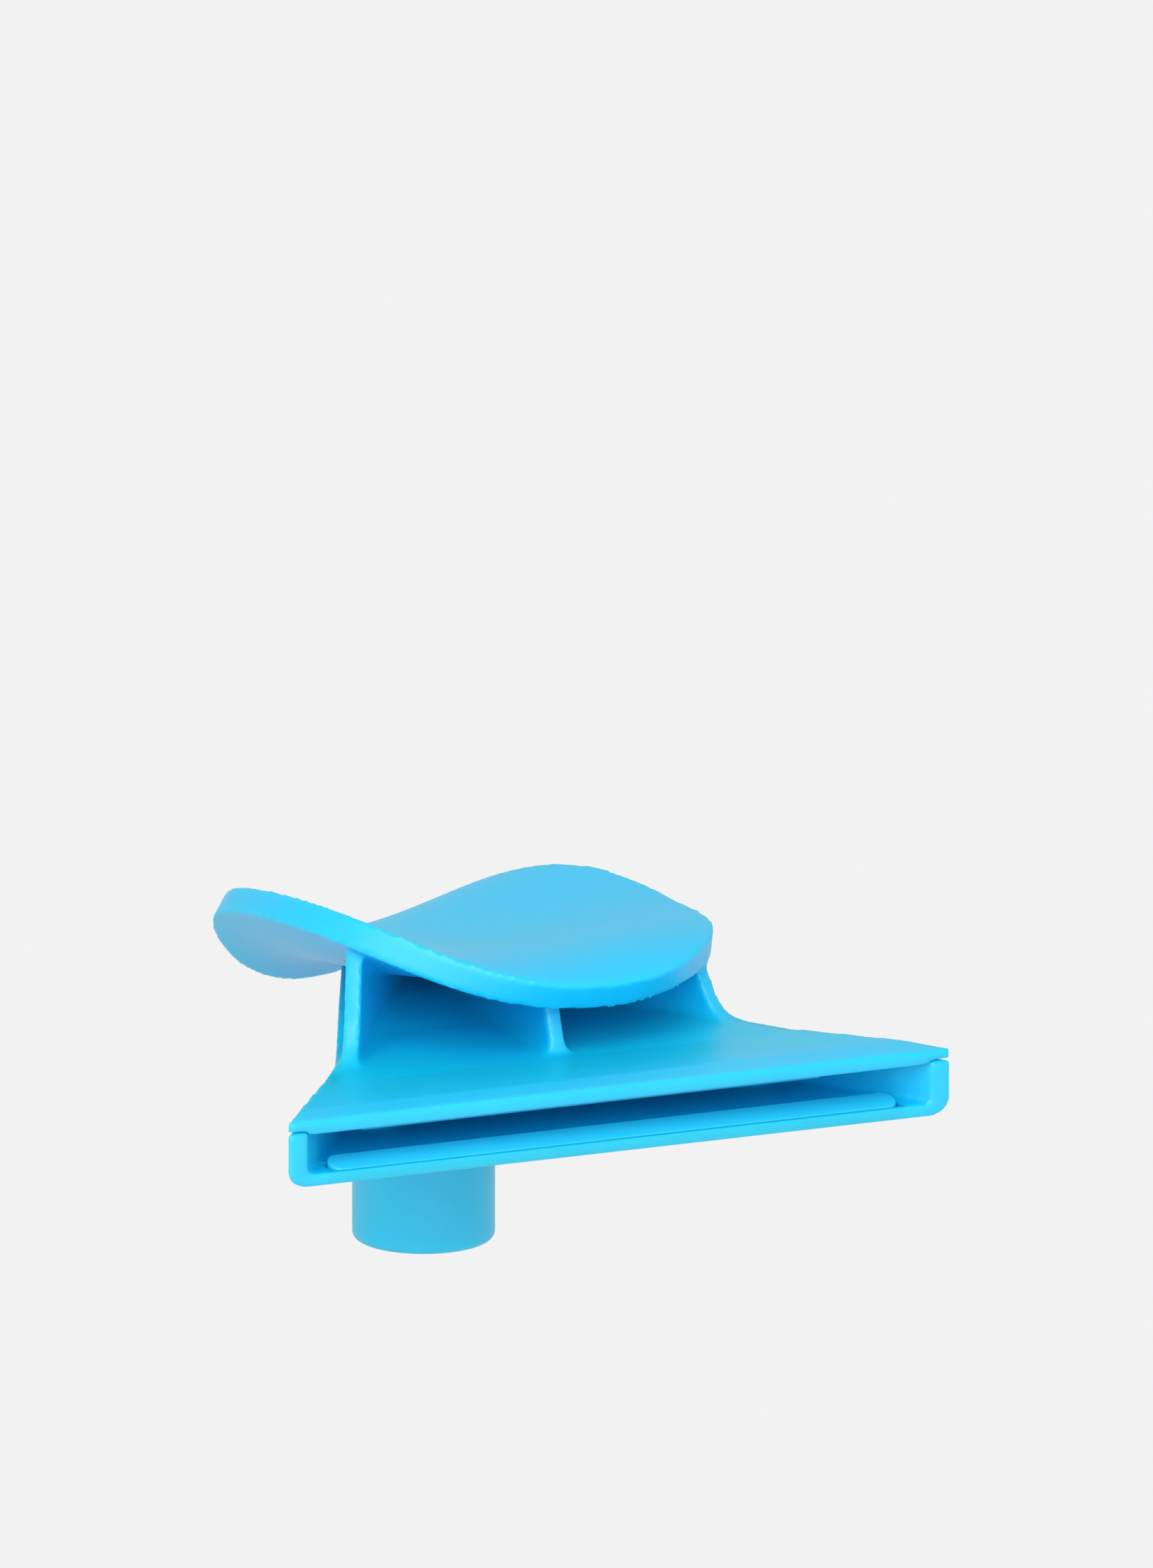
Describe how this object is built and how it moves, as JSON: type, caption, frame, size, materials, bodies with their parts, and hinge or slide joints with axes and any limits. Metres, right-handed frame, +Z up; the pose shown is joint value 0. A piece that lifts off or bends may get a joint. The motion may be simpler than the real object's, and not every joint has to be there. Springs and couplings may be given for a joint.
{
  "type": "squeeze clip for laundry",
  "caption": "Hand clip for laundry: a saddle-shaped finger rest over a flat fan-shaped body, a wide slot mouth with a rocking jaw inside, and a sprung push button below.",
  "frame": {"origin": "centre of the push button's flat lower face", "axes": "+Z up along the button's axis, the way it is pushed; +X along the mouth's slot; the mouth looks along -Y"},
  "size_m": [0.076, 0.0679, 0.0448],
  "materials": {
    "moulded_upper": "satin moulded polypropylene",
    "moulded_lower": "satin moulded polypropylene",
    "moulded_strip": "satin moulded polypropylene",
    "moulded_button": "satin moulded polypropylene",
    "moulded_lever": "satin moulded polypropylene",
    "jaw_rubber": "matt",
    "pin_steel": "drawn",
    "bush_nylon": "natural nylon",
    "spring_steel": "drawn wire",
    "screw_steel": "zinc plated"
  },
  "bodies": {
    "housing": {"upper_body": "moulded_upper", "lower_housing": "moulded_lower", "mouth_floor_strip": "moulded_strip", "roof_jaw_pad": "jaw_rubber", "pivot_pin": "pin_steel", "pivot_bush_left": "bush_nylon", "pivot_bush_right": "bush_nylon", "return_spring": "spring_steel", "screw_front_left": "screw_steel", "screw_front_right": "screw_steel", "screw_rear_left": "screw_steel", "screw_rear_right": "screw_steel"},
    "button": {"push_button": "moulded_button", "retaining_ring": "pin_steel"},
    "jaw": {"jaw_lever": "moulded_lever", "lever_jaw_pad": "jaw_rubber"}
  },
  "joints": [
    {"name": "button_slide", "type": "slide", "parent": "housing", "child": "button", "axis": [0, 0, 1], "range_m": [0, 0.003], "stiffness_N_per_m": 400, "springref_m": -0.006, "deforming": ["return_spring"]},
    {"name": "jaw_pivot", "type": "hinge", "parent": "housing", "child": "jaw", "pos_m": [0, -0.0298, 0.02652], "axis": [1, 0, 0], "range_deg": [0, 5.8]}
  ],
  "couplings": [
    {"joint": "jaw_pivot", "follows": "button_slide", "rad_per_m": 33.6}
  ]
}
